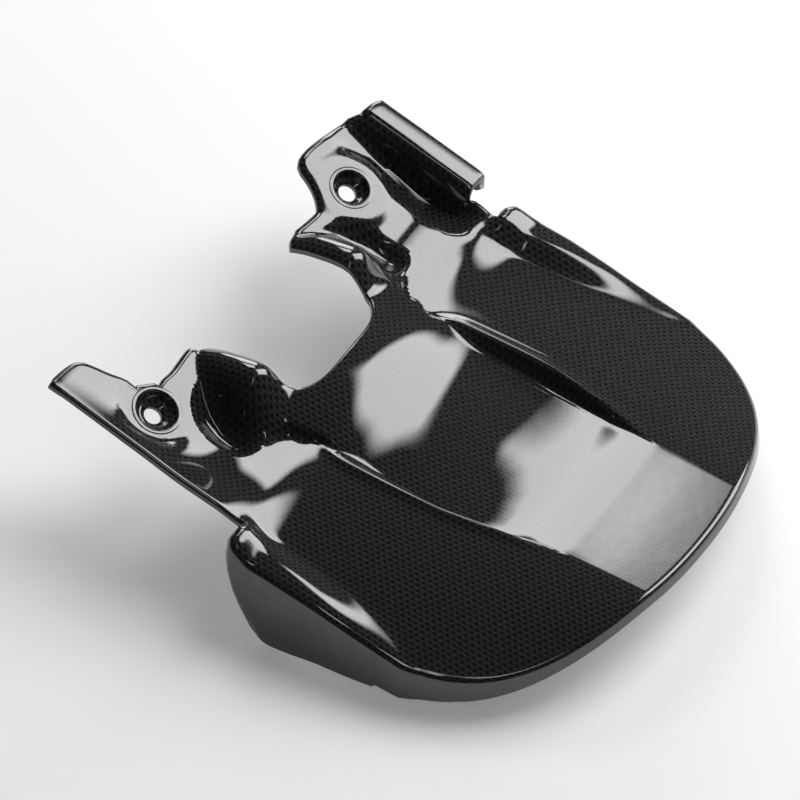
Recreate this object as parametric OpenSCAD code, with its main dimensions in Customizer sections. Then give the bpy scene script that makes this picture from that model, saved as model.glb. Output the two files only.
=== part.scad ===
// Rear fender of a motorcycle, moulded in one piece from woven carbon cloth.
// It covers the back tyre and bolts to the swingarm by two arms that reach
// forward on either side of the cut-out for the shock absorber. The right
// arm carries a rolled clip for the brake hose.
//
// x runs towards the tail, y to the right of the bike and z up. The shape is
// written from the middle of the cut-out's rear edge, in millimetres.

/* [Laminate] */
// Thickness of the cloth and resin
wall = 1.6; // [1.3:0.1:1.9]

/* [Panel] */
// Reach of the tail behind the cut-out
tail_reach = 180; // [172:1:190]
// Half the width of the panel, where it rolls over into the side walls
half_width = 115; // [111:1:118]
// Distance behind the cut-out where the tail starts to round off
tail_start = 88; // [80:1:96]
// Squareness of the tail's outline, where 2 is an ellipse
tail_square = 2.2; // [2:0.05:2.6]
// How far the panel lies below the edge of the cut-out
panel_drop = 12.7; // [10:0.1:14]
// Extra droop of the panel at the very tail
tail_droop = 3; // [0:0.5:5]

/* [Ribs and shoulders] */
// Height of the small lip along the outside of each rib
rib_lip = 1.5; // [0.5:0.1:2.5]
// Height of the shoulder ridges at their front
shoulder_rise = 8; // [6:0.5:9]
// Depth of the tyre well between the ribs
well_depth = 17; // [14:0.5:18]

/* [Cut-out] */
// Half the width of the cut-out at its rear corners
cut_half = 30; // [27:0.5:31.5]
// How far the rear edge of the cut-out bows towards the tail
cut_bow = 7.5; // [5:0.5:9]
// Height of the ridge beside the cut-out
ridge_height = 10; // [7:0.5:12]

/* [Side walls and edges] */
// Height of the side walls at the front
side_depth = 41; // [36:1:44]
// Height of the lip round the tail
tail_lip = 6; // [4.5:0.5:8]
// How far the front edge of a side wall leans back
side_rake = 14; // [8:1:16]
// Height of the lip along the arms
arm_lip = 3; // [2.4:0.2:4.4]
// Height of the lip round the cut-out
cut_lip = 2.8; // [2.4:0.1:3.5]

/* [Arms] */
// Rise of the arms for each millimetre forward
arm_rise = 0.3; // [0.26:0.01:0.34]
// Distance of the left arm's outer edge from the middle
arm_half = 98.8; // [97:0.2:101]
// Distance of the right arm's edge from the middle, behind the clip
clip_neck = 104; // [102:0.5:105]
// Reach of the hose clip from the middle
clip_reach = 117; // [115:0.5:118]

/* [Hose clip] */
// Depth of the groove between the right arm and the clip
groove = 6; // [4:0.5:7]
// Drop of the rolled hook
hook_drop = 13.5; // [9:0.5:15]
// Radius of the roll
hook_roll = 2.6; // [2.3:0.1:3]

/* [Bolt seats] */
// Distance of the left bolt hole in front of the cut-out
left_bolt_forward = 50.4; // [48:0.2:53]
// Distance of the left bolt hole from the middle
left_bolt_side = 75.5; // [73:0.5:78]
// Distance of the right bolt hole in front of the cut-out
right_bolt_forward = 47.2; // [45:0.2:49]
// Distance of the right bolt hole from the middle
right_bolt_side = 76.5; // [75:0.5:79]
// Diameter of the bolt holes
bolt_hole = 8.2; // [6.6:0.1:8.8]
// Diameter of the left seat's mouth
left_seat_mouth = 19; // [17:0.5:21]
// Diameter of the right seat's mouth
right_seat_mouth = 16; // [15:0.5:18]
// Diameter of the seat's floor
seat_floor = 12.8; // [11:0.2:14]
// Depth of the floor below the arm
seat_depth = 5; // [3.5:0.5:6]
// Thickness of the floor
floor_thick = 2.6; // [2.2:0.1:3.2]
// Height of the rounded rim round the mouth
seat_rim = 0.3; // [0.2:0.1:0.8]
// Height of the cone round the bolt hole
seat_cone = 1.2; // [0.6:0.1:1.6]

/* [Hidden] */
$fn = 72;

// rows of points: arm fronts, beside the cut-out, its rear corners, panel
n_arm = 10;
n_side = 3;
n_corner = 4;
n_panel = 25;
// columns on each half: shoulder, outer panel, rib, middle
n_shoulder = 4;
n_outer = 12;
n_rib = 4;
n_middle = 5;
// steps of the rolled edges
n_roll = 3;

seat_slope = 0.43;
seat_level = 0.6;

// Plain maths used by the curves and surfaces.
function clamp(v, lo, hi) = min(max(v, lo), hi);
function step(t) = let (s = clamp(t, 0, 1)) s * s * (3 - 2 * s);
function unit(v) = v / norm(v);

// Slope at each key point, so that the curve never overshoots.
function key_slopes(k) = let (
    n = len(k) - 1,
    d = [for (i = [0 : n - 1]) (k[i + 1][1] - k[i][1]) / (k[i + 1][0] - k[i][0])]
) [for (i = [0 : n]) i == 0 ? d[0] : i == n ? d[n - 1] :
    d[i - 1] * d[i] <= 0 ? 0 : 2 * d[i - 1] * d[i] / (d[i - 1] + d[i])];

// The smooth curve through key points, drawn out finely for lookup().
function drawn(k, steps = 6) = let (m = key_slopes(k)) [
    for (i = [0 : len(k) - 2], j = [0 : i == len(k) - 2 ? steps : steps - 1]) let (
        h = k[i + 1][0] - k[i][0], t = j / steps
    ) [k[i][0] + h * t,
        (1 + 2 * t) * pow(1 - t, 2) * k[i][1] + t * pow(1 - t, 2) * h * m[i]
        + t * t * (3 - 2 * t) * k[i + 1][1] + t * t * (t - 1) * h * m[i + 1]]];

// A plan curve [distance out, x] as two curves over the share of its length.
function run_length(k, i = 0, s = 0) = i >= len(k) ? [] :
    let (d = i == 0 ? 0 : norm(k[i] - k[i - 1])) concat([s + d], run_length(k, i + 1, s + d));
function path_curves(k) = let (s = run_length(k), e = s[len(s) - 1])
    [for (c = [0, 1]) drawn([for (i = [0 : len(k) - 1]) [s[i] / e, k[i][c]]])];

// Lines that shape the part, each as key points drawn out smoothly.
// Foot and crest of the ridge beside the cut-out: distance out, along x.
foot = drawn([[-56, 38], [-49, 46], [-45, 55], [-40.5, 63.5], [-34, 68], [-26, 69.3],
    [-15.5, 69], [-11, 66.5], [-7.5, 60], [-4, 51], [0, 47], [6, 46], [12, 43.5]]);
crest = drawn([[-56, 33], [-45, 40], [-21, 47], [-13.7, 46.5], [-5, 43.5], [12, 41.2]]);
// Height of that ridge, and of the middle of the part from cut-out to tail.
ridge = drawn([[-56, 0], [-40, 0.7 * ridge_height], [-24, ridge_height],
    [-12, ridge_height / 2], [-6, 1]]);
middle = drawn([[-7, 0.9], [0, 0], [13, -1.9], [28, -0.48 * well_depth], [43, -0.8 * well_depth],
    [60, -0.93 * well_depth], [80, -1.05 * well_depth], [100, -1.08 * well_depth],
    [125, -panel_drop - 5.2], [150, -panel_drop - 4.6], [186, -panel_drop - 4]]);
// Height of the panel beside the ribs, before it falls towards the side walls.
panel_line = drawn([[12, -panel_drop], [67, -panel_drop - 0.2], [100, -panel_drop - 1.5],
    [135, -panel_drop - 3.3], [160, -panel_drop - 3.6], [186, -panel_drop - 1 - tail_droop]]);
crown = drawn([[-7, 7], [12, 7.5], [30, 5], [67, 3], [132, 0.5], [186, 0.5]]);
// Outer and inner line of the ribs.
rib_out = drawn([[12, 42.5], [30, 46.5], [69, 47], [100, 43.5], [135, 37]]);
rib_in = drawn([[12, 41.2], [30, 40], [69, 41.5], [100, 39.5], [135, 36.4]]);
// Fall of the panel towards the side walls.
side_fall = drawn([[-20, 1], [8, 3], [26, 9.3], [60, 13.4], [110, 17.6], [150, 25], [186, 33]]);
// Height of the arms along the foot of the ridge.
arm_inner = drawn([[-95, 19], [-70, 9.5], [-52, 1.6], [-43, -2], [-18, -13],
    [-8, -13.5], [12, -13.5]]);
// Shoulder ridges: where they start, how wide they are and how high.
shoulder_at = drawn([[6, half_width - 22], [26, half_width - 20], [62, half_width - 16.4],
    [79, half_width - 13.5], [91, half_width - 9.5], [107, half_width - 2],
    [186, half_width - 2]]);
shoulder_width = drawn([[6, 12], [36, 13.5], [62, 15], [79, 13.5], [91, 9], [107, 3], [186, 2]]);
shoulder_high = drawn([[6, 0.75 * shoulder_rise], [16, 0.8 * shoulder_rise],
    [36, 0.95 * shoulder_rise], [56, 0.75 * shoulder_rise],
    [75, 0.4 * shoulder_rise], [91, 0.2 * shoulder_rise], [107, 0.05 * shoulder_rise], [120, 0]]);
// The groove beside the hose clip: how far across it lies, and how deep along the arm.
groove_in = drawn([[86.5, 0], [88, 0.08], [94.5, 0.94], [97, 0.98], [99.5, 1]], 3);
groove_out = drawn([[100, 0], [101, 0.06], [103.4, 0.5], [106, 0.96], [106.8, 1]], 3);
groove_deep = drawn([[-68, 0.15 * groove], [-55, 0.5 * groove], [-42, groove],
    [-25, 0.95 * groove], [-5, 0.6 * groove], [12, 0]]);
// The clip itself, above the line of the arm's outer edge.
clip_section = drawn([[100, -0.8], [106.8, -0.8], [108.3, 1.3], [109.3, 1.7], [115, 1.5],
    [117, 1.2]], 3);
// Front edges of the arms, from the cut-out outwards.
left_front = path_curves([[34, -50.2], [41.4, -53.8], [54, -53.2], [61, -54], [66.7, -56.8],
    [72, -60.8], [77.5, -71.8], [83.5, -85.4], [arm_half, -88]]);
right_front = path_curves([[34, -50.8], [37, -52], [46, -50.6], [57, -49.4], [64, -53.8],
    [67.8, -60], [71.5, -66.6], [73.5, -68.2], [77.5, -68.4], [85, -67.4], [93, -66],
    [101, -64], [107, -58.6], [112, -58.2], [clip_reach, -57]]);
// Height of the side walls and the lip round the tail, along x.
edge_drop = drawn([[12, side_depth - 1], [20, side_depth], [60, 0.77 * side_depth],
    [90, 0.55 * side_depth], [105, 0.43 * side_depth], [125, tail_lip + 7.5],
    [145, tail_lip + 4], [165, tail_lip + 1.5], [186, tail_lip]]);

// Height of the top surface, put together from its forms.
function side_level(x, a) = lookup(x, panel_line)
    - lookup(x, side_fall) * pow(clamp((a - 35) / 75, 0, 2), 1.7);

// Height of the arms' outer edge.
function arm_line(x) = -11 + arm_rise * (12 - x);

function arm_level(x, a) = let (
    inner = lookup(x, arm_inner),
    t = clamp((a - 60) / 41, 0, 1)
) inner + (arm_line(x) - inner) * pow(t, 2.2);

function ridge_level(x, a) = let (m = step((-5 - x) / 15))
    (1 - m) * (lookup(x, middle) - lookup(x, crown) * pow(a / 41, 2))
    + m * (lookup(x, ridge) - 0.07 * pow(a - 39, 2));

// Share of the ridge, or of the well behind it, at distance a from the middle.
function inner_share(x, a) = x < 12 ?
    let (f = lookup(x, foot)) pow(step((f - a) / (f - lookup(x, crest))), 0.75) :
    let (o = lookup(x, rib_out)) step((o - a) / (o - lookup(x, rib_in)))
        * (1 - step((x - 105) / 32));

function rib_edge(x, a) = x <= 8 ? 0 :
    rib_lip * step((x - 10) / 20) * (1 - step((x - 100) / 35))
    * exp(-pow((a - lookup(x, rib_out) - 0.5) / 2.6, 2));

function shoulder(x, a) = x <= 6 ? 0 : lookup(x, shoulder_high) * step((x - 6) / 9)
    * step((a - lookup(x, shoulder_at)) / lookup(x, shoulder_width));

// On the right the arm stays flat as far as the groove, and the clip follows it.
function hose_clip(x, y) = y <= 60 || x >= 13 ? 0 : let (
    flat = lookup(x, arm_inner),
    floor = flat - lookup(x, groove_deep) * lookup(y, groove_in)
) (floor + (arm_line(x) + lookup(y, clip_section) - floor) * lookup(y, groove_out)
    - arm_level(x, y)) * (1 - step((x + 8) / 20));

function bolt_forward(right) = right ? right_bolt_forward : left_bolt_forward;
function bolt_side(right) = right ? right_bolt_side : left_bolt_side;
function seat_mouth(right) = right ? right_seat_mouth : left_seat_mouth;

function height(x, y) = let (
    a = abs(y),
    w = step((x + 6) / 34),
    base = (1 - w) * arm_level(x, a) + w * side_level(x, a),
    s = inner_share(x, a),
    z = base + (s > 0 ? s * (ridge_level(x, a) - base) : 0) + rib_edge(x, a) + shoulder(x, a),
    top = z + hose_clip(x, y),
    forward = bolt_forward(y > 0),
    r = norm([x + forward, a - bolt_side(y > 0)]),
    flat = seat_level - seat_slope * (x + forward)
) top + (flat - top) * (1 - step((r - 13) / 7));

function lean(x, y, z, e = 0.4) =
    unit([(z - height(x + e, y)) / e, (z - height(x, y + e)) / e, 1]);

// Rows and columns of points in plan.
function tail_line(a) = tail_start + (tail_reach - tail_start)
    * pow(max(0, 1 - pow(min(a, half_width) / half_width, tail_square)), 1 / tail_square);
function cut_line(a) = cut_bow - 6 - cut_bow * pow(min(a / cut_half, 1), 4);

function spread(a, b, n) = [for (i = [0 : n - 1]) a + (b - a) * i / n];
function half_columns(c) = concat(spread(c[0], c[1], n_shoulder), spread(c[1], c[2], n_outer),
    spread(c[2], c[3], n_rib), spread(c[3], 0, n_middle), [0]);

// The four guiding distances of a row: outer edge, arm edge, rib, cut-out.
function arm_edge(right) = right ? clip_neck : arm_half;
cut_edge = [[1, cut_half + 3.2], [1.6, cut_half + 2.6], [2, cut_half], [3, 38]];
rib_edge_out = [[1, 46], [2, 44], [3, 46]];
panel_rib = drawn([[12, 38], [30, 37.5], [69, 39], [100, 37.5], [135, 35], [180, 30]]);
panel_rib_out = drawn([[12, 46], [30, 50], [69, 50.5], [100, 46.5], [135, 40], [180, 36]]);
function guides(s, right) = s < 3 ?
    [clip_reach, arm_edge(right), lookup(s, rib_edge_out), lookup(s, cut_edge)] :
    let (v = s - 3, x = 12 + v * 160) [
        half_width + lookup(v, [[0, -5.5], [0.05, -3], [0.12, -1], [0.3, -0.3], [1, 0]]),
        lookup(v, [[0, arm_edge(right) - 0.5], [0.5, half_width - 11], [1, half_width - 7]]),
        lookup(x, panel_rib_out), lookup(x, panel_rib)];

arm_columns = [for (right = [false, true]) half_columns(guides(1, right))];

// One half row as [x, y] points from the outside in.
function half_row(s, right) = let (side = right ? 1 : -1) s < 1 ?
    let (
        c = arm_columns[right ? 1 : 0],
        front = right ? right_front : left_front,
        first = c[right ? 0 : n_shoulder],
        last = c[n_shoulder + n_outer + n_rib]
    ) [for (a = c) let (
        t = clamp((a - last) / (first - last), 0, 1),
        p = [lookup(t, front[1]), lookup(t, front[0])]
    ) [s * -20 + (1 - s) * p[0], side * (s * a + (1 - s) * p[1])]] :
    let (c = half_columns(guides(s, right))) [for (a = c) [
        s < 2 ? -20 + 14 * (s - 1) :
        s < 3 ? let (e = a < cut_half ? cut_line(a) : -6) e + (s - 2) * (12 - e) :
        12 + (1 - pow(4 - s, 1.15)) * (tail_line(a) - 12), side * a]];

stations = concat(spread(0, 1, n_arm), spread(1, 2, n_side), spread(2, 3, n_corner),
    spread(3, 4, n_panel), [4]);
half_count = n_shoulder + n_outer + n_rib + n_middle;
last_col = 2 * half_count;
last_row = len(stations) - 1;
cut_row = n_arm + n_side;
panel_row = cut_row + n_corner;
in_left = n_shoulder + n_outer + n_rib;
in_right = last_col - in_left;
arm_right = last_col - n_shoulder;

top = [for (s = stations) let (l = half_row(s, false), r = half_row(s, true)) [
    for (j = [0 : last_col]) let (p = j <= half_count ? l[j] : r[last_col - j])
        [p[0], p[1], height(p[0], p[1])]]];

function used(i, j) = i < cut_row ?
    (j >= n_shoulder && j < in_left) || (j >= in_right && j < last_col) :
    i < panel_row ? j >= n_shoulder && j < arm_right : true;

// The edge, once round the whole part: [row, column, kind of edge].
edge = concat(
    [for (i = [0 : panel_row - 1]) [i, n_shoulder, "arm"]],
    [for (j = [n_shoulder : -1 : 1]) [panel_row, j, "shoulder"]],
    [for (i = [panel_row : last_row - 1]) [i, 0, "side"]],
    [for (j = [0 : last_col - 1]) [last_row, j, "side"]],
    [for (i = [last_row : -1 : panel_row + 1]) [i, last_col, "side"]],
    [for (j = [last_col : -1 : arm_right + 1]) [panel_row, j, "shoulder"]],
    [for (i = [panel_row : -1 : cut_row + 1]) [i, arm_right, "arm"]],
    [for (j = [arm_right : last_col - 1]) [cut_row, j, "clip end"]],
    [for (i = [cut_row : -1 : 1]) [i, last_col, "hook"]],
    [for (j = [last_col : -1 : in_right + 1]) [0, j, "front"]],
    [for (i = [0 : cut_row - 1]) [i, in_right, "cut"]],
    [for (j = [in_right : -1 : in_left + 1]) [cut_row, j, "cut"]],
    [for (i = [cut_row : -1 : 1]) [i, in_left, "cut"]],
    [for (j = [in_left : -1 : n_shoulder + 1]) [0, j, "front"]]
);
n_edge = len(edge);

// Radius of the roll, drop and final angle of each kind of edge.
function rim(kind, p) = let (a = abs(p[1]), d = lookup(p[0], edge_drop))
    kind == "arm" ? [1.8, arm_lip, -82] :
    kind == "shoulder" ? let (t = clamp((a - half_width + 15) / 8.5, 0, 1))
        [2 + 2.5 * t, 5 + (side_depth - 6) * t, -84] :
    kind == "side" ? [2.2 + 2.3 * clamp((d - 6) / 9, 0, 1), d, -84] :
    kind == "clip end" ? [1, 2.2, -80] :
    kind == "hook" ? [hook_roll, hook_drop, -97] :
    kind == "front" ? [3.2, 1.2 * arm_lip, -80] :
    [1.3, cut_lip, -80];

edge_point = [for (e = edge) top[e[0]][e[1]]];
edge_lean = [for (p = edge_point) lean(p[0], p[1], p[2])];
edge_rim = let (r = [for (q = [0 : n_edge - 1]) rim(edge[q][2], edge_point[q])])
    [for (q = [0 : n_edge - 1]) let (
        m = (r[(q + n_edge - 1) % n_edge] + 2 * r[q] + r[(q + 1) % n_edge]) / 4
    ) [m[0], m[1], r[q][2]]];
edge_along = [for (q = [0 : n_edge - 1]) let (
    p = edge_point[q], before = edge_point[(q + n_edge - 1) % n_edge],
    after = edge_point[(q + 1) % n_edge]
) [unit(after - before), unit(unit(after - p) + unit(p - before))]];

// Points of one step of the rolled edge: [point, direction it faces].
function roll_point(q, k) = let (
    p = edge_point[q], n = edge_lean[q], r = edge_rim[q][0], end = edge_rim[q][2],
    t = edge_along[q], o = unit([t[1][1], -t[1][0], 0]),
    start = clamp(atan2(-n * o, n[2]), -60, 60),
    turn = k <= n_roll ? start + (end - start) * k / n_roll : end,
    down = r * (cos(turn) - cos(start)),
    rest = k <= n_roll ? 0 : max(0.6, (edge_rim[q][1] + down) / abs(sin(end))),
    out = r * (sin(start) - sin(turn)) + rest * cos(end),
    z = down + rest * sin(end),
    kind = edge[q][2],
    low = clamp(-z / (side_depth + 1), 0, 1),
    back = kind == "side" || kind == "shoulder" ?
        side_rake * (pow(low, 1.8) - 0.2 * sin(180 * low)) * clamp(1 - (p[0] - 12) / 90, 0, 1) :
        kind == "hook" ? -7 * clamp(-z / 8, 0, 1) * clamp(1 - (p[0] + 55) / 16, 0, 1) : 0,
    f = -sin(turn) * o + [0, 0, cos(turn)]
) [p + out * o + [back, 0, z], unit(f - (f * t[0]) * t[0])];

rolled = [for (k = [1 : n_roll + 1]) [for (q = [0 : n_edge - 1]) roll_point(q, k)]];

// Points and faces. The lining lies one wall thickness inside the top surface.
row_size = last_col + 1;
n_top = row_size * (last_row + 1);
outside = concat([for (r = top, p = r) p], [for (r = rolled, v = r) v[0]]);
facing = concat(
    [for (i = [0 : last_row], j = [0 : last_col]) let (p = top[i][j])
        used(min(i, last_row - 1), min(j, last_col - 1)) || used(max(i - 1, 0), max(j - 1, 0))
        || used(max(i - 1, 0), min(j, last_col - 1)) || used(min(i, last_row - 1), max(j - 1, 0))
        ? lean(p[0], p[1], p[2]) : [0, 0, 1]],
    [for (r = rolled, v = r) v[1]]);
inside = [for (q = [0 : len(outside) - 1]) outside[q] - wall * facing[q]];
n_out = len(outside);

function ring(k, q) = k == 0 ? edge[q % n_edge][0] * row_size + edge[q % n_edge][1] :
    n_top + (k - 1) * n_edge + q % n_edge;
// Each cell is cut along the flatter of its two diagonals.
function flatter(i, j) = abs(top[i][j][2] - top[i + 1][j + 1][2])
    <= abs(top[i + 1][j][2] - top[i][j + 1][2]);
skin = concat(
    [for (i = [0 : last_row - 1], j = [0 : last_col - 1]) if (used(i, j))
        let (a = i * row_size + j, b = a + row_size)
        each flatter(i, j) ? [[a, b, b + 1], [a, b + 1, a + 1]] :
            [[a, b, a + 1], [b, b + 1, a + 1]]],
    [for (k = [0 : n_roll], q = [0 : n_edge - 1])
        each [[ring(k, q), ring(k + 1, q), ring(k + 1, q + 1)],
            [ring(k, q), ring(k + 1, q + 1), ring(k, q + 1)]]]);
hem = [for (q = [0 : n_edge - 1])
    let (a = ring(n_roll + 1, q), b = ring(n_roll + 1, q + 1))
    each [[a, a + n_out, b + n_out], [a, b + n_out, b]]];
lining = [for (f = skin) [f[2] + n_out, f[1] + n_out, f[0] + n_out]];

// The part stands with the middle of its box over the origin, on z = 0.
hem_points = [for (q = [0 : n_edge - 1], k = [1 : n_roll + 1])
    each [outside[ring(k, q)], inside[ring(k, q)]]];
xs = [for (p = hem_points) p[0]];
shift = [-(min(xs) + max(xs)) / 2, 0, -min([for (p = hem_points) p[2]])];

module moulding() {
    polyhedron(
        points = concat(outside, inside),
        faces = [for (f = concat(skin, hem, lining)) [f[2], f[1], f[0]]],
        convexity = 10);
}

// Puts a child on a bolt seat, its axis square to the arm.
module at_seat(right) {
    translate([-bolt_forward(right), (right ? 1 : -1) * bolt_side(right), seat_level])
        rotate([0, atan(seat_slope), 0])
            children();
}

// Pressed cup that lets the bolt head sit below the surface of the arm.
module seat_cup(right) {
    mouth = seat_mouth(right) / 2;
    base = seat_floor / 2;
    outer = mouth + 2.4;
    rotate_extrude()
        polygon([
            [0, -seat_depth], [bolt_hole / 2 + 0.1, -seat_depth],
            [base - 0.4, seat_cone - seat_depth], [base + 0.4, seat_cone - seat_depth + 0.4],
            [mouth - 0.5, -0.4], [mouth + 0.3, seat_rim], [outer - 0.9, seat_rim],
            [outer, seat_rim - 0.5], [outer, -wall - 0.5], [mouth + 1.2, -wall - 0.5],
            [base + 1.6, -seat_depth - floor_thick + 0.8],
            [base + 0.8, -seat_depth - floor_thick], [0, -seat_depth - floor_thick]
        ]);
}

module fender_shell() {
    color([0.09, 0.09, 0.1])
        translate(shift)
            difference() {
                union() {
                    difference() {
                        moulding();
                        for (right = [false, true])
                            at_seat(right)
                                cylinder(h = 12, r = seat_mouth(right) / 2 + 1.2, center = true);
                    }
                    for (right = [false, true])
                        at_seat(right)
                            seat_cup(right);
                }
                for (right = [false, true])
                    at_seat(right)
                        translate([0, 0, -seat_depth - floor_thick - 2])
                            cylinder(h = 12, d = bolt_hole);
            }
}

fender_shell();
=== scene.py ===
# %% [markdown]
# # Rear fender of a motorcycle, in woven carbon
#
# The fender is one moulding of black carbon cloth under a deep clear coat. The CAD model holds its
# size and its bolt holes, and this lesson makes its looks. It redraws the shell from the same lines,
# but finely enough for a mirror gloss, gives it a woven finish, and lights it with large soft lamps
# whose reflections draw its forms.

# %% Start and frame
import math

import bpy
import numpy as np
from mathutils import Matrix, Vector


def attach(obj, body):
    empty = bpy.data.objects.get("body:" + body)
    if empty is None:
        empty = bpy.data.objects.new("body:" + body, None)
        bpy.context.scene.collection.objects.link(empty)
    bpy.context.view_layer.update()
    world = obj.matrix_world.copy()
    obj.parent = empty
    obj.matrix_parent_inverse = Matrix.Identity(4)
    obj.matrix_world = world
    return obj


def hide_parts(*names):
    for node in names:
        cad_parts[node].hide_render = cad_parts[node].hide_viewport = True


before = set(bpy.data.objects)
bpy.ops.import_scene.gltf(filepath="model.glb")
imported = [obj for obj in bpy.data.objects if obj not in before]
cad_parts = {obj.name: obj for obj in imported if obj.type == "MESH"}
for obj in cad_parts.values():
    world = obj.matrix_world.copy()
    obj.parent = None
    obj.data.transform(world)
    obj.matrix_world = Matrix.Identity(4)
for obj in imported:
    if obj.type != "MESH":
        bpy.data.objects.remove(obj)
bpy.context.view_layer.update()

MM = 0.001

# %% [markdown]
# ## Camera
# The photograph was taken with a long lens from well above, and its parallel edges stay parallel. An
# orthographic camera gives that. Its direction was found by laying the fender's lines over the
# photograph: 32.6 degrees round from the side and 50 degrees up. The picture's middle lies a little
# off the middle of the cut-out's rear edge, which the sizes below state.

# %% Camera
CAMERA_AZIMUTH = math.radians(32.6)
CAMERA_ELEVATION = math.radians(50)
PIXELS_PER_METRE = 2300
PICTURE_SIDE = 800
CUT_OUT_AT = (348, 347)             # pixel of the middle of the cut-out's rear edge

# How far the shape's own zero, at the cut-out's rear edge, lies from the CAD origin.
PLACE = np.array([-45.8354, 0.0, 56.4233])

right = Vector((math.cos(CAMERA_AZIMUTH), math.sin(CAMERA_AZIMUTH), 0))
toward = Vector((math.sin(CAMERA_AZIMUTH) * math.cos(CAMERA_ELEVATION),
                 -math.cos(CAMERA_AZIMUTH) * math.cos(CAMERA_ELEVATION),
                 math.sin(CAMERA_ELEVATION)))
up = toward.cross(right)
aim = (Vector(PLACE * MM)
       + right * ((PICTURE_SIDE / 2 - CUT_OUT_AT[0]) / PIXELS_PER_METRE)
       - up * ((PICTURE_SIDE / 2 - CUT_OUT_AT[1]) / PIXELS_PER_METRE))

camera = bpy.data.objects.new("camera", bpy.data.cameras.new("camera"))
bpy.context.scene.collection.objects.link(camera)
camera.data.type = "ORTHO"
camera.data.ortho_scale = PICTURE_SIDE / PIXELS_PER_METRE
camera.data.clip_end = 20
camera.location = aim + toward * 3
camera.rotation_mode = "QUATERNION"
camera.rotation_quaternion = toward.to_track_quat("Z", "Y")
bpy.context.scene.camera = camera
bpy.context.scene.view_settings.view_transform = "Standard"
print("camera at", [round(v, 3) for v in camera.location])

# %% [markdown]
# ## Smooth lines through key points
# A mould is drawn with a few long curves: the foot of a ridge, the fall of the panel, the height of a
# wall. Each is given here by key points, and a cubic runs through them that never overshoots, so a
# flat stretch stays flat. It is worked out for whole arrays at once.

# %% Curve helpers
def curve(x, keys):
    """Cubic through the keys: on each span h00 y0 + h10 h m0 + h01 y1 + h11 h m1, where a key's
    slope m is the harmonic mean of its neighbouring spans' slopes, or zero where they turn."""
    k = np.asarray(keys, float)
    d = np.diff(k[:, 1]) / np.diff(k[:, 0])
    m = np.concatenate([d[:1], np.zeros(len(d) - 1), d[-1:]])
    same = d[:-1] * d[1:] > 0
    m[1:-1][same] = 2 * d[:-1][same] * d[1:][same] / (d[:-1] + d[1:])[same]
    x = np.clip(np.asarray(x, float), k[0, 0], k[-1, 0])
    i = np.clip(np.searchsorted(k[:, 0], x, side="right") - 1, 0, len(k) - 2)
    h = k[i + 1, 0] - k[i, 0]
    t = (x - k[i, 0]) / h
    return ((1 + 2 * t) * (1 - t) ** 2 * k[i, 1] + t * (1 - t) ** 2 * h * m[i]
            + t * t * (3 - 2 * t) * k[i + 1, 1] + t * t * (t - 1) * h * m[i + 1])


def ease(t):
    """Smooth step: 3 t^2 - 2 t^3 between 0 and 1."""
    t = np.clip(t, 0, 1)
    return t * t * (3 - 2 * t)


def path(t, keys):
    """Plan curve through points, as two curves over the share t of its length."""
    k = np.asarray(keys, float)
    s = np.concatenate([[0], np.cumsum(np.hypot(*np.diff(k, axis=0).T))])
    return [curve(t, np.c_[s / s[-1], k[:, c]]) for c in (0, 1)]


# %% [markdown]
# ## The fender's lines
# These are the driving lines of the mould, in millimetres from the middle of the cut-out's rear edge:
# x runs to the tail and the first number of most pairs is x. They are the lines of the CAD model, so
# the fine shell lies on the solid one.

# %% Lines of the mould
WALL = 1.6
TAIL_REACH, TAIL_START, TAIL_SQUARE, HALF_WIDTH = 180, 88, 2.2, 115
CUT_HALF, CUT_BOW = 30, 7.5
ARM_HALF, CLIP_NECK, CLIP_REACH = 98.8, 104, 117
SIDE_DEPTH, SIDE_RAKE = 41, 14
SEAT_Z, SEAT_SLOPE = 0.6, 0.43
SEATS = {-1: (-50.4, 75.5, 19), 1: (-47.2, 76.5, 16)}   # side: x, distance out, mouth of the cup

FOOT = [(-56, 38), (-49, 46), (-45, 55), (-40.5, 63.5), (-34, 68), (-26, 69.3), (-15.5, 69),
        (-11, 66.5), (-7.5, 60), (-4, 51), (0, 47), (6, 46), (12, 43.5)]
CREST = [(-56, 33), (-45, 40), (-21, 47), (-13.7, 46.5), (-5, 43.5), (12, 41.2)]
RIDGE = [(-56, 0), (-40, 7), (-24, 10), (-12, 5), (-6, 1)]
MIDDLE = [(-7, 0.9), (0, 0), (13, -1.9), (28, -8.16), (43, -13.6), (60, -15.81), (80, -17.85),
          (100, -18.36), (125, -17.9), (150, -17.3), (186, -16.7)]
PANEL = [(12, -12.7), (67, -12.9), (100, -14.2), (135, -16), (160, -16.3), (186, -16.7)]
CROWN = [(-7, 7), (12, 7.5), (30, 5), (67, 3), (132, 0.5), (186, 0.5)]
RIB_OUT = [(12, 42.5), (30, 46.5), (69, 47), (100, 43.5), (135, 37)]
RIB_IN = [(12, 41.2), (30, 40), (69, 41.5), (100, 39.5), (135, 36.4)]
SIDE_FALL = [(-20, 1), (8, 3), (26, 9.3), (60, 13.4), (110, 17.6), (150, 25), (186, 33)]
ARM_INNER = [(-95, 19), (-70, 9.5), (-52, 1.6), (-43, -2), (-18, -13), (-8, -13.5), (12, -13.5)]
SHOULDER_AT = [(6, 93), (26, 95), (62, 98.6), (79, 101.5), (91, 105.5), (107, 113), (186, 113)]
SHOULDER_WIDTH = [(6, 12), (36, 13.5), (62, 15), (79, 13.5), (91, 9), (107, 3), (186, 2)]
SHOULDER_HIGH = [(6, 6), (16, 6.4), (36, 7.6), (56, 6), (75, 3.2), (91, 1.6), (107, 0.4), (120, 0)]
GROOVE_IN = [(86.5, 0), (88, 0.08), (94.5, 0.94), (97, 0.98), (99.5, 1)]
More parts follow.
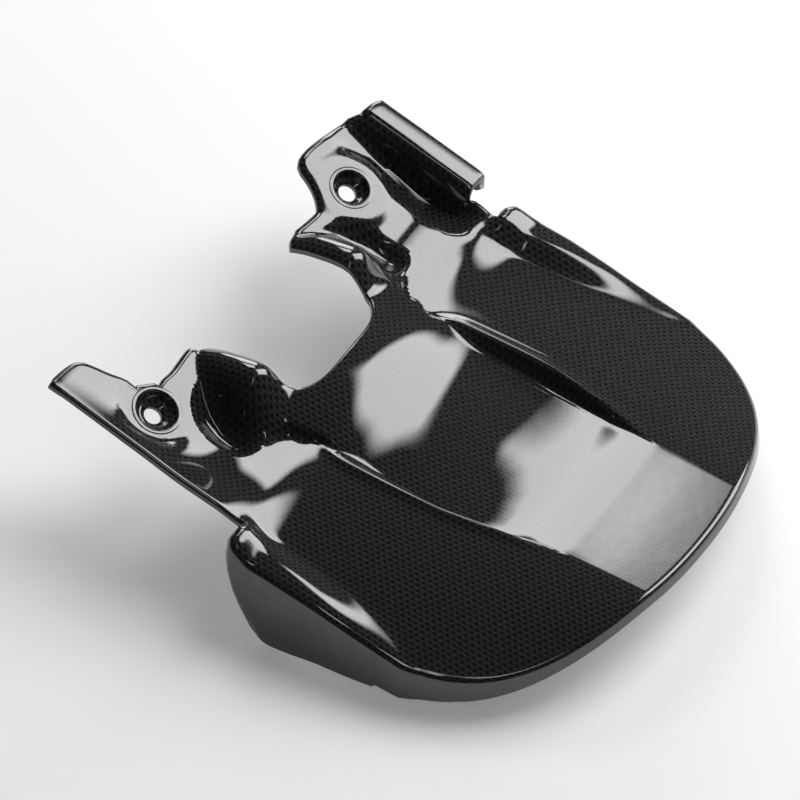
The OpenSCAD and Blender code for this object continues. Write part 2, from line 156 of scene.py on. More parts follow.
GROOVE_OUT = [(100, 0), (101, 0.06), (103.4, 0.5), (106, 0.96), (106.8, 1)]
GROOVE_DEEP = [(-68, 0.9), (-55, 3), (-42, 6), (-25, 5.7), (-5, 3.6), (12, 0)]
CLIP_SECTION = [(100, -0.8), (106.8, -0.8), (108.3, 1.3), (109.3, 1.7), (115, 1.5), (117, 1.2)]
LEFT_FRONT = [(34, -50.2), (41.4, -53.8), (54, -53.2), (61, -54), (66.7, -56.8), (72, -60.8),
              (77.5, -71.8), (83.5, -85.4), (98.8, -88)]
RIGHT_FRONT = [(34, -50.8), (37, -52), (46, -50.6), (57, -49.4), (64, -53.8), (67.8, -60),
               (71.5, -66.6), (73.5, -68.2), (77.5, -68.4), (85, -67.4), (93, -66), (101, -64),
               (107, -58.6), (112, -58.2), (117, -57)]
EDGE_DROP = [(12, 40), (20, 41), (60, 31.57), (90, 22.55), (105, 17.63), (125, 13.5), (145, 10),
             (165, 7.5), (186, 6)]


# %% [markdown]
# ## The top surface
# The whole top is one height over the plan. The arms and the panel blend into each other, a ridge
# stands on each side of the cut-out and becomes the rib of the tyre well, and the shoulders, the hose
# clip and the flat rounds of the bolt seats are laid over them. One formula keeps every form smooth
# into the next, which matters more than anything else under a mirror gloss.

# %% Top surface
def seat_distance(x, y):
    """Distance in plan to the bolt hole of the same side, and that hole's x."""
    seat_x = np.where(y > 0, SEATS[1][0], SEATS[-1][0])
    return np.hypot(x - seat_x, np.abs(y) - np.where(y > 0, SEATS[1][1], SEATS[-1][1])), seat_x


def height(x, y):
    """z of the top at x, y: (1 - w) arm + w panel, plus the share s of the way to the ridge or the
    well, plus rib lip, shoulder and clip, and drawn to the seat's plane near each bolt hole."""
    a = np.abs(y)
    inner, outer = curve(x, ARM_INNER), -11 + 0.3 * (12 - x)
    arm = inner + (outer - inner) * np.clip((a - 60) / 41, 0, 1) ** 2.2
    panel = curve(x, PANEL) - curve(x, SIDE_FALL) * np.clip((a - 35) / 75, 0, 2) ** 1.7
    floor = inner - curve(x, GROOVE_DEEP) * curve(y, GROOVE_IN)
    clip = floor + (outer + curve(y, CLIP_SECTION) - floor) * curve(y, GROOVE_OUT)
    clip = np.where((y > 60) & (x < 13), (clip - arm) * (1 - ease((x + 8) / 20)), 0)
    w = ease((x + 6) / 34)
    base = (1 - w) * arm + w * panel
    m = ease((-5 - x) / 15)
    middle = ((1 - m) * (curve(x, MIDDLE) - curve(x, CROWN) * (a / 41) ** 2)
              + m * (curve(x, RIDGE) - 0.07 * (a - 39) ** 2))
    foot, out = curve(x, FOOT), curve(x, RIB_OUT)
    front_share = ease((foot - a) / (foot - curve(x, CREST))) ** 0.75
    rear_share = ease((out - a) / (out - curve(x, RIB_IN))) * (1 - ease((x - 105) / 32))
    z = base + (middle - base) * np.where(x < 12, front_share, rear_share)
    lip = 1.5 * ease((x - 10) / 20) * (1 - ease((x - 100) / 35))
    z = z + np.where(x > 8, lip * np.exp(-((a - out - 0.5) / 2.6) ** 2), 0)
    z = z + (curve(x, SHOULDER_HIGH) * ease((x - 6) / 9)
             * ease((a - curve(x, SHOULDER_AT)) / curve(x, SHOULDER_WIDTH)))
    r, seat_x = seat_distance(x, y)
    return z + clip + (SEAT_Z - SEAT_SLOPE * (x - seat_x) - z - clip) * (1 - ease((r - 13) / 7))


def lean(x, y, e=0.3):
    """Unit normal of the top: (-dz/dx, -dz/dy, 1) from central differences."""
    n = np.stack([(height(x - e, y) - height(x + e, y)) / (2 * e),
                  (height(x, y - e) - height(x, y + e)) / (2 * e), np.ones_like(x)], -1)
    return n / np.linalg.norm(n, axis=-1, keepdims=True)


# %% [markdown]
# ## Rows and columns
# A mirror shows every kink in a mesh, so the grid follows the fender. Rows run across it, from the
# arms' front edges to the tail, and columns run along its shoulders and ribs. A mask leaves out the
# cut-out and the notches beside the arms.

# %% Grid in plan
ROWS = (26, 9, 11, 70)               # arms, beside the cut-out, its rear corners, panel
COLUMNS = (9, 30, 12, 13)            # on each half: shoulder, outer panel, rib, middle


def shares(counts, closed=True):
    """Piece number and share along it for every line of a run of pieces."""
    piece = np.repeat(np.arange(len(counts)), counts)
    share = np.concatenate([np.arange(n) / n for n in counts])
    if closed:
        piece, share = np.append(piece, len(counts) - 1), np.append(share, 1.0)
    return piece, share


def tail_line(a):
    """x of the tail: start + reach (1 - (a / half width)^p)^(1/p), with p = 2.2."""
    return TAIL_START + (TAIL_REACH - TAIL_START) * np.clip(
        1 - (np.minimum(a, HALF_WIDTH) / HALF_WIDTH) ** TAIL_SQUARE, 0, 1) ** (1 / TAIL_SQUARE)


row_piece, row_share = shares(ROWS)
stations = row_piece + row_share
col_piece, col_share = shares(COLUMNS)
HALF_COUNT = sum(COLUMNS)
LAST_COL, LAST_ROW = 2 * HALF_COUNT, sum(ROWS)
CUT_ROW, PANEL_ROW = ROWS[0] + ROWS[1], sum(ROWS[:3])
ARM_LEFT, IN_LEFT = COLUMNS[0], sum(COLUMNS[:3])
IN_RIGHT, ARM_RIGHT = LAST_COL - IN_LEFT, LAST_COL - ARM_LEFT


def half_plan(s, side):
    """x and y of one half: each row's distances run through its guides, outer edge to middle."""
    right_side = side > 0
    arm_out = CLIP_NECK if right_side else ARM_HALF
    v = np.clip(s - 3, 0, 1)
    back = 12 + v * 160
    near = np.clip(s, 1, 3)
    guides = np.where((s < 3)[:, None],
        np.stack([np.full_like(s, CLIP_REACH), np.full_like(s, arm_out),
                  np.interp(near, [1, 2, 3], [46, 44, 46]),
                  np.interp(near, [1, 1.6, 2, 3], [CUT_HALF + 3.2, CUT_HALF + 2.6, CUT_HALF, 38]),
                  0 * s], -1),
        np.stack([np.interp(v, [0, 0.05, 0.12, 0.3, 1],
                            HALF_WIDTH + np.array([-5.5, -3, -1, -0.3, 0])),
                  np.interp(v, [0, 0.5, 1], [arm_out - 0.5, HALF_WIDTH - 11, HALF_WIDTH - 7]),
                  curve(back, [(12, 46), (30, 50), (69, 50.5), (100, 46.5), (135, 40), (180, 36)]),
                  curve(back, [(12, 38), (30, 37.5), (69, 39), (100, 37.5), (135, 35), (180, 30)]),
                  0 * s], -1))
    a = guides[:, col_piece] * (1 - col_share) + guides[:, col_piece + 1] * col_share
    s2 = s[:, None] + 0 * a
    edge = np.where(a < CUT_HALF, CUT_BOW - 6 - CUT_BOW * np.minimum(a / CUT_HALF, 1) ** 4, -6)
    x = np.select([s2 < 2, s2 < 3],
                  [-20 + 14 * (s2 - 1), edge + (s2 - 2) * (12 - edge)],
                  12 + (1 - (4 - s2).clip(0, 1) ** 1.15) * (tail_line(a) - 12))
    at_one = a[np.searchsorted(s, 1.0)]
    first, last = at_one[0 if right_side else ARM_LEFT], at_one[IN_LEFT]
    front_a, front_x = path(np.clip((at_one - last) / (first - last), 0, 1),
                            RIGHT_FRONT if right_side else LEFT_FRONT)
    x = np.where(s2 < 1, s2 * -20 + (1 - s2) * front_x, x)
    a = np.where(s2 < 1, s2 * at_one + (1 - s2) * front_a, a)
    return x, side * a


left_x, left_y = half_plan(stations, -1)
right_x, right_y = half_plan(stations, 1)
grid_x = np.concatenate([left_x, right_x[:, -2::-1]], 1)
grid_y = np.concatenate([left_y, right_y[:, -2::-1]], 1)
print("grid", grid_x.shape)

# %% [markdown]
# ## Bolt seats: opening in the skin
# On the real arm the cloth is pressed down into a round cup. Here the skin stops on a circle under
# the cup's rim, and the cup is turned separately. Cells inside the circle are left out, and the
# points on the border move onto the circle, so no step shows.

# %% Openings for the seats
seat_r, seat_x = seat_distance(grid_x, grid_y)
seat_y = np.where(grid_y > 0, SEATS[1][1], -SEATS[-1][1])
seat_cut = np.where(grid_y > 0, SEATS[1][2], SEATS[-1][2]) / 2 + 1.2
i, j = np.meshgrid(np.arange(LAST_ROW), np.arange(LAST_COL), indexing="ij")
used = np.where(i < CUT_ROW, ((j >= ARM_LEFT) & (j < IN_LEFT)) | (j >= IN_RIGHT),
                np.where(i < PANEL_ROW, (j >= ARM_LEFT) & (j < ARM_RIGHT), True))
middle_r = (seat_r[:-1, :-1] + seat_r[1:, :-1] + seat_r[:-1, 1:] + seat_r[1:, 1:]) / 4
used &= ~(middle_r < seat_cut[1:, 1:])

kept = np.zeros(grid_x.shape, int)
for di, dj in ((0, 0), (1, 0), (0, 1), (1, 1)):
    kept[di:LAST_ROW + di, dj:LAST_COL + dj] += used
border = (kept > 0) & (kept < 4) & (seat_r < seat_cut + 4)
pull = np.where(border, seat_cut / np.maximum(seat_r, 1e-6), 1.0)
grid_x = seat_x + (grid_x - seat_x) * pull
grid_y = seat_y + (grid_y - seat_y) * pull
top = np.stack([grid_x, grid_y, height(grid_x, grid_y)], -1)
print("cells:", int(used.sum()), "border points round the seats:", int(border.sum()))

# %% [markdown]
# ## The rolled edge
# Every free edge of the fender turns down: a tall wall along each side, a low lip round the tail and
# the cut-out, and a hanging hook on the hose clip. The edge is one loop round the whole outline. At
# each of its points a small arc turns the skin over and a straight part takes it down.

# %% Edge loop
def run(row0, row1, col0, col1, kind):
    """Rows, columns and kind of one straight stretch of the loop, without its last point."""
    n = max(abs(row1 - row0), abs(col1 - col0))
    t = np.arange(n) / n
    return np.stack([np.rint(row0 + (row1 - row0) * t), np.rint(col0 + (col1 - col0) * t),
                     np.full(n, kind)], -1).astype(int)


ARM, SHOULDER, SIDE, CLIP_END, HOOK, FRONT, CUT = range(7)
loop = np.concatenate([
    run(0, PANEL_ROW, ARM_LEFT, ARM_LEFT, ARM),
    run(PANEL_ROW, PANEL_ROW, ARM_LEFT, 0, SHOULDER),
    run(PANEL_ROW, LAST_ROW, 0, 0, SIDE),
    run(LAST_ROW, LAST_ROW, 0, LAST_COL, SIDE),
    run(LAST_ROW, PANEL_ROW, LAST_COL, LAST_COL, SIDE),
    run(PANEL_ROW, PANEL_ROW, LAST_COL, ARM_RIGHT, SHOULDER),
    run(PANEL_ROW, CUT_ROW, ARM_RIGHT, ARM_RIGHT, ARM),
    run(CUT_ROW, CUT_ROW, ARM_RIGHT, LAST_COL, CLIP_END),
    run(CUT_ROW, 0, LAST_COL, LAST_COL, HOOK),
    run(0, 0, LAST_COL, IN_RIGHT, FRONT),
    run(0, CUT_ROW, IN_RIGHT, IN_RIGHT, CUT),
    run(CUT_ROW, CUT_ROW, IN_RIGHT, IN_LEFT, CUT),
    run(CUT_ROW, 0, IN_LEFT, IN_LEFT, CUT),
    run(0, 0, IN_LEFT, ARM_LEFT, FRONT)])
edge = top[loop[:, 0], loop[:, 1]]
kind = loop[:, 2]
print("edge loop:", len(loop), "points")


# %% [markdown]
# The arc's radius, the depth of the edge and the angle it ends at differ by kind of edge, and they are
# averaged along the loop where one kind meets the next. The side walls also rake back towards the
# tail as they go down, and the hook's front end bends forward.

# %% Rolled edge
ROLL_STEPS, DROP_STEPS = 8, 5


def smooth_round(v, passes):
    """Closed run averaged with its neighbours as (1, 2, 1) / 4, some times over."""
    for _ in range(passes):
        v = (np.roll(v, 1, 0) + 2 * v + np.roll(v, -1, 0)) / 4
    return v


def roll_edge():
    """Rolled points, their normals and their run outwards. The arc of radius r turns from the skin's
    own tilt to the end angle, then the wall goes straight on until the edge has dropped by its
    height: out = r (sin start - sin turn), down = r (cos turn - cos start)."""
    a, drop = np.abs(edge[:, 1]), curve(edge[:, 0], EDGE_DROP)
    t = np.clip((a - 100) / 8.5, 0, 1)
    one = np.ones(len(edge))
    # One value per kind of edge: arm, shoulder, side, clip end, hook, front, cut-out.
    radius = np.choose(kind, [1.8 * one, 2 + 2.5 * t, 2.2 + 2.3 * np.clip((drop - 6) / 9, 0, 1),
                              1.0 * one, 2.6 * one, 3.2 * one, 1.3 * one])
    deep = np.choose(kind, [3 * one, 5 + (SIDE_DEPTH - 6) * t, drop, 2.2 * one, 13.5 * one,
                            3.6 * one, 2.8 * one])
    end = np.radians(np.choose(kind, [-82, -84, -84, -80, -97, -80, -80]).astype(float))
    radius, deep, end = smooth_round(radius, 3), smooth_round(deep, 3), smooth_round(end, 2)
    n = lean(edge[:, 0], edge[:, 1])
    after, before = np.roll(edge, -1, 0), np.roll(edge, 1, 0)
    along = (after - before) / np.linalg.norm(after - before, axis=1, keepdims=True)
    along = smooth_round(along, 1)
    along /= np.linalg.norm(along, axis=1, keepdims=True)
    out = np.stack([along[:, 1], -along[:, 0], 0 * a], -1)
    out /= np.linalg.norm(out, axis=1, keepdims=True)
    start = np.clip(np.arctan2(-(n * out).sum(1), n[:, 2]), -1.05, 1.05)
    k = np.arange(1, ROLL_STEPS + DROP_STEPS + 1)[:, None]
    turn = start + (end - start) * np.minimum(k / ROLL_STEPS, 1)
    down = radius * (np.cos(turn) - np.cos(start))
    straight = (np.maximum(0.6, (deep + down) / np.abs(np.sin(end)))
                * np.clip((k - ROLL_STEPS) / DROP_STEPS, 0, 1))
    reach = radius * (np.sin(start) - np.sin(turn)) + straight * np.cos(end)
    z = down + straight * np.sin(end)
    low = np.clip(-z / (SIDE_DEPTH + 1), 0, 1)
    rake = (SIDE_RAKE * (low ** 1.8 - 0.2 * np.sin(np.pi * low))
            * np.clip(1 - (edge[:, 0] - 12) / 90, 0, 1))
    horn = -7 * np.clip(-z / 8, 0, 1) * np.clip(1 - (edge[:, 0] + 55) / 16, 0, 1)
    back = np.where((kind == SIDE) | (kind == SHOULDER), rake, np.where(kind == HOOK, horn, 0))
    point = edge + reach[..., None] * out + np.stack([back, 0 * z, z], -1)
    face = -np.sin(turn)[..., None] * out + np.stack([0 * turn, 0 * turn, np.cos(turn)], -1)
    face -= (face * along).sum(-1, keepdims=True) * along
    face /= np.linalg.norm(face, axis=-1, keepdims=True)
    cloth = edge[:, :2] + (np.abs(turn - start) * radius + straight)[..., None] * out[:, :2]
    return point, face, cloth


rolled, rolled_face, rolled_cloth = roll_edge()
print("rolled edge:", rolled.shape[:2])

# %% [markdown]
# ## Closing the shell
# The lining lies one wall thickness inside the skin, along its normals, as the back of a laminate
# does. Wherever the skin ends, a narrow hem joins it to the lining, and its middle bulges a little,
# as a trimmed and sanded edge does.

# %% Skin, lining and hem
row_size, ring_size = LAST_COL + 1, len(loop)
skin_points = np.concatenate([top.reshape(-1, 3), rolled.reshape(-1, 3)])
skin_facing = np.concatenate([lean(grid_x, grid_y).reshape(-1, 3), rolled_face.reshape(-1, 3)])
skin_cloth = np.concatenate([top[..., :2].reshape(-1, 2), rolled_cloth.reshape(-1, 2)])
n_top = top.shape[0] * top.shape[1]

corner = (i * row_size + j)[used]
cells = np.stack([corner, corner + row_size, corner + row_size + 1, corner + 1], -1)
ring = np.concatenate([(loop[:, 0] * row_size + loop[:, 1])[None],
                       n_top + np.arange(len(rolled) * ring_size).reshape(len(rolled), ring_size)])
ring = np.concatenate([ring, ring[:, :1]], 1)
strip = np.stack([ring[:-1, :-1], ring[1:, :-1], ring[1:, 1:], ring[:-1, 1:]], -1).reshape(-1, 4)
skin = np.concatenate([cells, strip])


def open_edges(faces):
    """Edges that only one face uses, each in that face's direction."""
    e = np.concatenate([faces[:, [k, (k + 1) % 4]] for k in range(4)])
    _, place, count = np.unique(np.sort(e, 1), axis=0, return_index=True, return_counts=True)
    return e[place[count == 1]]


n_skin = len(skin_points)
rim = open_edges(skin)
lining_points = skin_points - WALL * skin_facing
rim_ids = np.unique(rim)
HEM_BULGE = 0.45
ring_down = np.zeros_like(skin_points)
last_ring = ring[-1, :-1]
ring_down[last_ring] = skin_points[last_ring] - skin_points[ring[-2, :-1]]
ring_down /= np.maximum(np.linalg.norm(ring_down, axis=1, keepdims=True), 1e-9)
hem_points = (skin_points + lining_points)[rim_ids] / 2 + HEM_BULGE * ring_down[rim_ids]
hem_of = np.zeros(n_skin, int)
hem_of[rim_ids] = 2 * n_skin + np.arange(len(rim_ids))
a, b = rim[:, 0], rim[:, 1]
hem = np.concatenate([np.stack([b, a, hem_of[a], hem_of[b]], -1),
                      np.stack([hem_of[b], hem_of[a], a + n_skin, b + n_skin], -1)])
shell_points = np.concatenate([skin_points, lining_points, hem_points])
shell_cloth = np.concatenate([skin_cloth, skin_cloth, skin_cloth[rim_ids]])
shell_faces = np.concatenate([skin, skin[:, ::-1] + n_skin, hem])
print("shell:", len(shell_faces), "faces; rim edges", len(rim))

# %% [markdown]
# ## Turned bolt cups
# Each arm has a round cup for the bolt's head: a low rounded rim, a sloping wall, a narrow floor and
# a cone down to the hole. The right cup has the smaller mouth. Such a form is a profile turned round
# an axis. The profile is closed, so the cup is a ring with no poles, and its bore is the CAD model's.

# %% Bolt cups
CUP_PROFILE = [(12.0, -0.12), (11.6, 0.04), (11.0, 0.16), (10.4, 0.2), (9.95, 0.12), (9.6, -0.15),
               (9.3, -0.6), (9.0, -1.1), (8.0, -2.5), (7.1, -3.4), (6.8, -3.55), (6.45, -3.6),
               (6.15, -3.75), (5.6, -4.1), (4.6, -4.72), (4.25, -4.95), (4.1, -5.2), (4.1, -7.3),
               (4.2, -7.55), (4.5, -7.6), (7.0, -7.6), (7.6, -7.3), (8.0, -6.7), (10.7, -2.1),
               (11.7, -1.9)]
CUP_SIDES = 96
PROFILE_MOUTH = 19                   # width of the profile's mouth; a smaller cup draws it in


def turned(profile, sides):
    """Points r (cos t, sin t), z for every t round the axis and every profile point."""
    r, z = np.array(profile, float).T
    t = np.arange(sides) / sides * 2 * np.pi
    return np.stack([np.outer(np.cos(t), r), np.outer(np.sin(t), r), np.tile(z, (sides, 1))], -1)


def cup(side):
    """Turned profile tilted by the seat's slope about y and set on the arm."""
    seat_x, seat_out, mouth = SEATS[side]
    r, z = np.array(CUP_PROFILE).T
    p = turned(np.c_[r + (mouth - PROFILE_MOUTH) / 2 * np.clip((r - 6.5) / 3, 0, 1), z], CUP_SIDES)
    c, s = math.cos(math.atan(SEAT_SLOPE)), math.sin(math.atan(SEAT_SLOPE))
    tilted = np.stack([c * p[..., 0] + s * p[..., 2], p[..., 1], -s * p[..., 0] + c * p[..., 2]], -1)
    placed = tilted + np.array([seat_x, side * seat_out, SEAT_Z])
    m = len(CUP_PROFILE)
    t, k = np.meshgrid(np.arange(CUP_SIDES), np.arange(m), indexing="ij")
    here, turn, down = t * m + k, (t + 1) % CUP_SIDES * m + k, t * m + (k + 1) % m
    both = (t + 1) % CUP_SIDES * m + (k + 1) % m
    return placed.reshape(-1, 3), np.stack([here, turn, both, down], -1).reshape(-1, 4)


parts = [(shell_points, shell_cloth, shell_faces)]
for side in (-1, 1):
    cup_points, cup_faces = cup(side)
    parts.append((cup_points, cup_points[:, :2], cup_faces))

# %% [markdown]
# ## One mesh
# The shell and the two cups become one mesh that stands in for the CAD shell. Points that no face
# uses are dropped, and the flat place of each point on the cloth becomes its UV map.

# %% Mesh
points, cloth, faces, first = [], [], [], 0
for p, c, f in parts:
    points.append(p), cloth.append(c), faces.append(f + first)
    first += len(p)
points, cloth, faces = np.concatenate(points), np.concatenate(cloth), np.concatenate(faces)
in_use, faces = np.unique(faces, return_inverse=True)
faces = faces.reshape(-1, 4)
points, cloth = (points[in_use] + PLACE) * MM, cloth[in_use] * MM

mesh = bpy.data.meshes.new("carbon_shell")
mesh.from_pydata(points.tolist(), [], faces.tolist())
uv = mesh.uv_layers.new(name="cloth")
uv.data.foreach_set("uv", cloth[faces.reshape(-1)].astype(np.float32).reshape(-1))
mesh.polygons.foreach_set("use_smooth", np.ones(len(faces), bool))
mesh.set_sharp_from_angle(angle=math.radians(50))
mesh.validate()
shell = bpy.data.objects.new("carbon_shell", mesh)
bpy.context.scene.collection.objects.link(shell)
print("triangles:", 2 * len(faces))

# %% [markdown]
# ## Woven carbon under clear coat
# The cloth is a plain weave of flat tows about two millimetres wide, one set along the fender and one
# across. Where sin u times sin v is positive the lengthwise tow lies on top, elsewhere the crosswise
# one. All tows are the same black fibre, and the sheen that the lamps give them is painted into the
# colour. From the camera's side the tops of the lengthwise tows are painted darkest, and what lies
# between them is painted as a net of lighter zigzags, so this painted shade and sheen follow the same
# sines. Fine fibres run along each tow. The pattern reads a UV map of the flat cloth, which was
# carried over the rolled edges, so the weave drapes down the walls as the real cloth does. The deep
# clear coat is the coat layer of the shader, smooth over all of it.

# %% Weave
TOW_ALONG, TOW_ACROSS = 0.00213, 0.00167       # widths of lengthwise and crosswise tows, in metres
ARCH_POWER = 0.45                   # a low power gives a flat tow with steep flanks
ARCH_ENDS = 0.45                    # share of its height that a tow keeps where it dives
# Painted shade and sheen of the tows, drawn into the base colour: how broad the painted dark patches
# are, and how dark a crosswise tow is painted.
PAINTED_SHADE_POWERS = 0.55, 0.5            # of |sin v| and |sin u|: how broad the dark patches are
CROSSWISE_PAINTED_SHADE = 0.22              # how dark a crosswise tow gets, against 1 for a lengthwise one
# The painted-shade black of the darkest tow tops and the painted sheen grey of the lit fibres; the
# carbon itself is black throughout.
PAINTED_SHADE_BLACK, PAINTED_SHEEN_GREY = (0.0006, 0.0006, 0.0007, 1), (0.028, 0.0284, 0.0294, 1)


class Maths:
    """Short forms for chains of shader maths nodes in one material."""

    def __init__(self, tree):
        self.tree = tree

    def node(self, kind, **values):
        n = self.tree.nodes.new(kind)
        for name, value in values.items():
            setattr(n, name, value)
        return n

    def put(self, socket, value):
        if isinstance(value, bpy.types.NodeSocket):
            self.tree.links.new(value, socket)
        else:
            socket.default_value = value

    def math(self, operation, *inputs):
        n = self.node("ShaderNodeMath", operation=operation)
        for socket, value in zip(n.inputs, inputs):
            self.put(socket, value)
        return n.outputs[0]

    def mix(self, share, first, second):
        """first (1 - share) + second share"""
        n = self.node("ShaderNodeMix", data_type="FLOAT")
        self.put(n.inputs["Factor"], share), self.put(n.inputs["A"], first)
        self.put(n.inputs["B"], second)
        return n.outputs[0]

    def colour(self, share, first, second):
        n = self.node("ShaderNodeMix", data_type="RGBA")
        self.put(n.inputs["Factor"], share)
        self.put(n.inputs[6], first), self.put(n.inputs[7], second)
        return n.outputs[2]


def carbon_weave_and_painted_sheen():
    """Plain weave: height of the upper tow = |sin across|^0.45 (0.45 + 0.55 |sin along|), and its
    painted darkness, which stands for the lamps' sheen on the fibres, = |sin v|^0.55 times |sin u|^0.5
    on lengthwise tows or 0.22 on crosswise ones."""
    material = bpy.data.materials.new("carbon_weave_and_painted_sheen")
    material.use_nodes = True
    tree = material.node_tree
    tree.nodes.clear()
    m = Maths(tree)
    uv = m.node("ShaderNodeUVMap", uv_map="cloth").outputs[0]
    waver = m.node("ShaderNodeTexNoise")
    m.put(waver.inputs["Vector"], uv)
    waver.inputs["Scale"].default_value = 120
    waver.inputs["Detail"].default_value = 1
    shift = m.node("ShaderNodeVectorMath", operation="MULTIPLY_ADD")
    m.put(shift.inputs[0], waver.outputs["Color"])
    shift.inputs[1].default_value = (0.0009, 0.0009, 0)
    m.put(shift.inputs[2], uv)
    split = m.node("ShaderNodeSeparateXYZ")
    m.put(split.inputs[0], shift.outputs[0])
    turn_u = m.math("MULTIPLY", split.outputs[0], math.pi / TOW_ACROSS)
    turn_v = m.math("MULTIPLY", split.outputs[1], math.pi / TOW_ALONG)
    sin_u, sin_v = m.math("SINE", turn_u), m.math("SINE", turn_v)
    arch_u, arch_v = m.math("ABSOLUTE", sin_u), m.math("ABSOLUTE", sin_v)
    lengthwise = m.math("GREATER_THAN", m.math("MULTIPLY", sin_u, sin_v), 0.0)

    def tow(across, along):
        return m.math("MULTIPLY", m.math("POWER", across, ARCH_POWER),
                      m.math("MULTIPLY_ADD", along, 1 - ARCH_ENDS, ARCH_ENDS))

    arch = m.mix(lengthwise, tow(arch_u, arch_v), tow(arch_v, arch_u))

    fibre_space = m.node("ShaderNodeCombineXYZ")
    m.put(fibre_space.inputs[0], m.mix(lengthwise, m.math("MULTIPLY", turn_u, 4.0), turn_u))
    m.put(fibre_space.inputs[1], m.mix(lengthwise, turn_v, m.math("MULTIPLY", turn_v, 4.0)))
    fibres = m.node("ShaderNodeTexNoise")
    m.put(fibres.inputs["Vector"], fibre_space.outputs[0])
    fibres.inputs["Scale"].default_value = 1.2
    fibres.inputs["Detail"].default_value = 2
    fibre = fibres.outputs["Fac"]

    # Painted shade: darkest on the tops of the lengthwise tows and light on the crosswise ones,
    # standing for the lamps' sheen on the fibres.
    painted_shade = m.math("MULTIPLY", m.math("POWER", arch_v, PAINTED_SHADE_POWERS[0]),
                   m.mix(lengthwise, CROSSWISE_PAINTED_SHADE, m.math("POWER", arch_u, PAINTED_SHADE_POWERS[1])))
    # Painted sheen and shade, times the real grain of the fibres, picks the base colour.
    painted_sheen_and_grain = m.math("MULTIPLY", m.math("SUBTRACT", 1.0, painted_shade), m.math("MULTIPLY_ADD", fibre, 0.8, 0.6))
    painted_sheen_colour = m.colour(painted_sheen_and_grain, PAINTED_SHADE_BLACK, PAINTED_SHEEN_GREY)

    relief = m.node("ShaderNodeBump")
    m.put(relief.inputs["Height"], m.math("MULTIPLY_ADD", fibre, 0.12, arch))
    relief.inputs["Strength"].default_value = 0.9
    relief.inputs["Distance"].default_value = 0.00035

    pool = m.node("ShaderNodeTexNoise")
    m.put(pool.inputs["Vector"], uv)
    pool.inputs["Scale"].default_value = 60
    pool.inputs["Detail"].default_value = 2
    coat_relief = m.node("ShaderNodeBump")
    m.put(coat_relief.inputs["Height"], m.math("MULTIPLY_ADD", arch, 0.03, pool.outputs["Fac"]))
    coat_relief.inputs["Strength"].default_value = 0.5
    coat_relief.inputs["Distance"].default_value = 0.00006

    shader = m.node("ShaderNodeBsdfPrincipled")
    m.put(shader.inputs["Base Color"], painted_sheen_colour)
    m.put(shader.inputs["Normal"], relief.outputs[0])
    m.put(shader.inputs["Coat Normal"], coat_relief.outputs[0])
    shader.inputs["Roughness"].default_value = 0.34
    shader.inputs["Specular IOR Level"].default_value = 0.02
    shader.inputs["Coat Weight"].default_value = 1.0
    shader.inputs["Coat Roughness"].default_value = 0.03
    shader.inputs["Coat IOR"].default_value = 1.75
    output = m.node("ShaderNodeOutputMaterial")
    m.put(output.inputs["Surface"], shader.outputs[0])
    return material


shell.data.materials.append(carbon_weave_and_painted_sheen())
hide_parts("fender_shell")
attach(shell, "root")
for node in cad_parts.values():
    node.data.materials.clear()
    node.data.materials.append(shell.data.materials[0])
print("weave of", round(TOW_ALONG / MM, 2), "by", round(TOW_ACROSS / MM, 2), "mm tows")

# %% [markdown]
# ## Floor
# A plain pale floor stands under the fender and keeps its soft shadow. Part of it is plain white to
# the camera and to reflections, so the shadow stays light. It is large, so that low views see it too.

# %% Floor
FLOOR_HALF = 12
FLOOR_Z = -0.0004                   # just under the lowest edge
FLOOR_WHITE = 0.22                  # share of plain white that the camera and reflections see


def floor_material():
    material = bpy.data.materials.new("pale_floor")
    material.use_nodes = True
    shader = material.node_tree.nodes["Principled BSDF"]
    shader.inputs["Base Color"].default_value = (0.93, 0.93, 0.93, 1)
    shader.inputs["Roughness"].default_value = 0.9
    shader.inputs["Specular IOR Level"].default_value = 0.1
    nodes, links = material.node_tree.nodes, material.node_tree.links
    ray, white, mixed = (nodes.new("ShaderNodeLightPath"), nodes.new("ShaderNodeEmission"),
                         nodes.new("ShaderNodeMixShader"))
    camera_or_glossy, seen, share = (nodes.new("ShaderNodeMath") for _ in range(3))
    camera_or_glossy.operation = seen.operation = "MAXIMUM"
    share.operation = "MULTIPLY"
    links.new(ray.outputs["Is Camera Ray"], camera_or_glossy.inputs[0])
    links.new(ray.outputs["Is Glossy Ray"], camera_or_glossy.inputs[1])
    links.new(camera_or_glossy.outputs[0], seen.inputs[0])
    links.new(ray.outputs["Is Transmission Ray"], seen.inputs[1])
    links.new(seen.outputs[0], share.inputs[0])
    share.inputs[1].default_value = FLOOR_WHITE
    links.new(share.outputs[0], mixed.inputs[0])
    links.new(shader.outputs[0], mixed.inputs[1])
    links.new(white.outputs[0], mixed.inputs[2])
    links.new(mixed.outputs[0], nodes["Material Output"].inputs["Surface"])
    return material


floor_mesh = bpy.data.meshes.new("floor")
floor_mesh.from_pydata([(-FLOOR_HALF, -FLOOR_HALF, 0), (FLOOR_HALF, -FLOOR_HALF, 0),
                        (FLOOR_HALF, FLOOR_HALF, 0), (-FLOOR_HALF, FLOOR_HALF, 0)], [], [(0, 1, 2, 3)])
floor = bpy.data.objects.new("floor", floor_mesh)
floor_mesh.materials.append(floor_material())
bpy.context.scene.collection.objects.link(floor)
floor.location.z = FLOOR_Z
print("floor of", 2 * FLOOR_HALF, "metres")

# %% [markdown]
# ## Soft lamps
# A glossy black thing is lit by what it mirrors. Laying the photograph's bright and dark places over
# the directions that each point mirrors showed a wide soft lamp behind the fender on its right, a low
# and a high one further round its back with dark gaps between, and a thin one high on the near side.
# Each lamp below is placed by that direction and by the angle it fills, and its strength is its
# brightness, not its power.

# %% Soft lamps
LAMP_FAR = 1.6                      # metres from the fender's middle


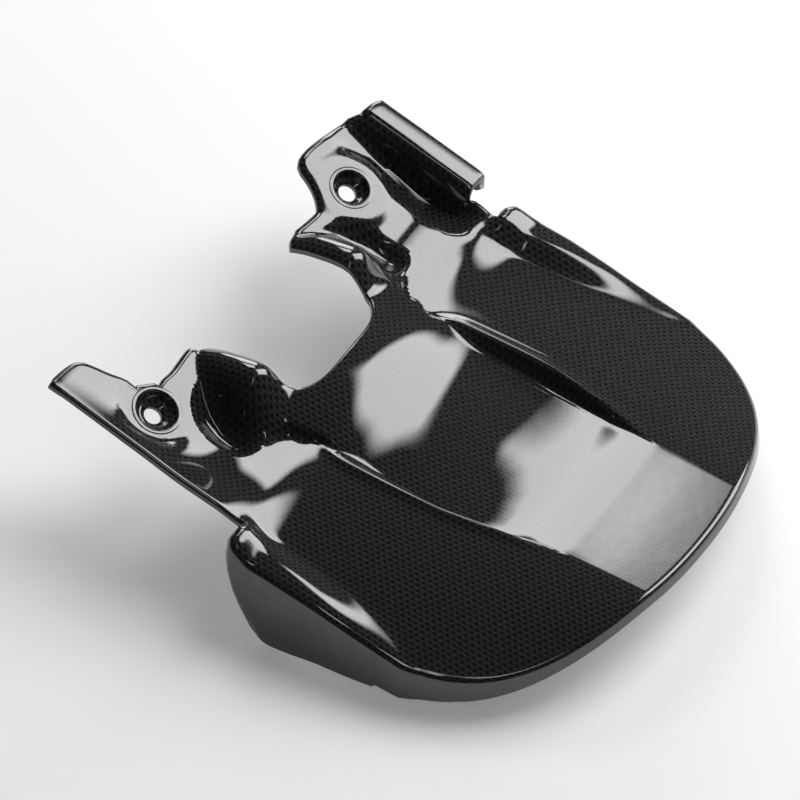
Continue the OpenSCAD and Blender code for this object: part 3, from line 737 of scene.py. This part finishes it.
def soft_lamp(name, azimuth, elevation, wide, high, bright, fade):
    """Area lamp that fills wide by high degrees in a direction; power = bright x pi x area. It fades
    to its edge over the share fade of its side, as cloth over a lamp does."""
    az, el = math.radians(azimuth), math.radians(elevation)
    way = Vector((math.cos(az) * math.cos(el), math.sin(az) * math.cos(el), math.sin(el)))
    data = bpy.data.lights.new(name, "AREA")
    data.shape = "RECTANGLE"
    data.size = 2 * LAMP_FAR * math.tan(math.radians(wide / 2))
    data.size_y = 2 * LAMP_FAR * math.tan(math.radians(high / 2))
    data.energy = bright * math.pi * data.size * data.size_y
    data.use_nodes = True
    tree = data.node_tree
    place = tree.nodes.new("ShaderNodeNewGeometry")
    split = tree.nodes.new("ShaderNodeSeparateXYZ")
    tree.links.new(place.outputs["Parametric"], split.inputs[0])
    both = tree.nodes.new("ShaderNodeMath")
    both.operation = "MULTIPLY"
    for axis in (0, 1):
        centred = tree.nodes.new("ShaderNodeMath")
        centred.operation = "PINGPONG"
        tree.links.new(split.outputs[axis], centred.inputs[0])
        centred.inputs[1].default_value = 0.5
        soft = tree.nodes.new("ShaderNodeMapRange")
        soft.interpolation_type = "SMOOTHSTEP"
        tree.links.new(centred.outputs[0], soft.inputs["Value"])
        soft.inputs["From Max"].default_value = fade
        tree.links.new(soft.outputs["Result"], both.inputs[axis])
    tree.links.new(both.outputs[0], tree.nodes["Emission"].inputs["Strength"])
    lamp = bpy.data.objects.new(name, data)
    bpy.context.scene.collection.objects.link(lamp)
    lamp.location = way * LAMP_FAR
    lamp.rotation_mode = "QUATERNION"
    lamp.rotation_quaternion = way.to_track_quat("Z", "Y")
    lamp.visible_camera = False
    return lamp


soft_lamp("wide_back_lamp", 63, 44, 42, 64, 6.5, 0.19)
soft_lamp("low_back_lamp", 122, 18, 24, 28, 5.6, 0.14)
soft_lamp("high_back_lamp", 129, 47, 23, 20, 6.3, 0.2)
soft_lamp("near_strip_lamp", 285, 58, 5, 30, 3.0, 0.3)

# %% Faint room light
world = bpy.data.worlds.new("studio")
bpy.context.scene.world = world
world.use_nodes = True
world.node_tree.nodes["Background"].inputs["Color"].default_value = (1, 1, 1, 1)
world.node_tree.nodes["Background"].inputs["Strength"].default_value = 0.03
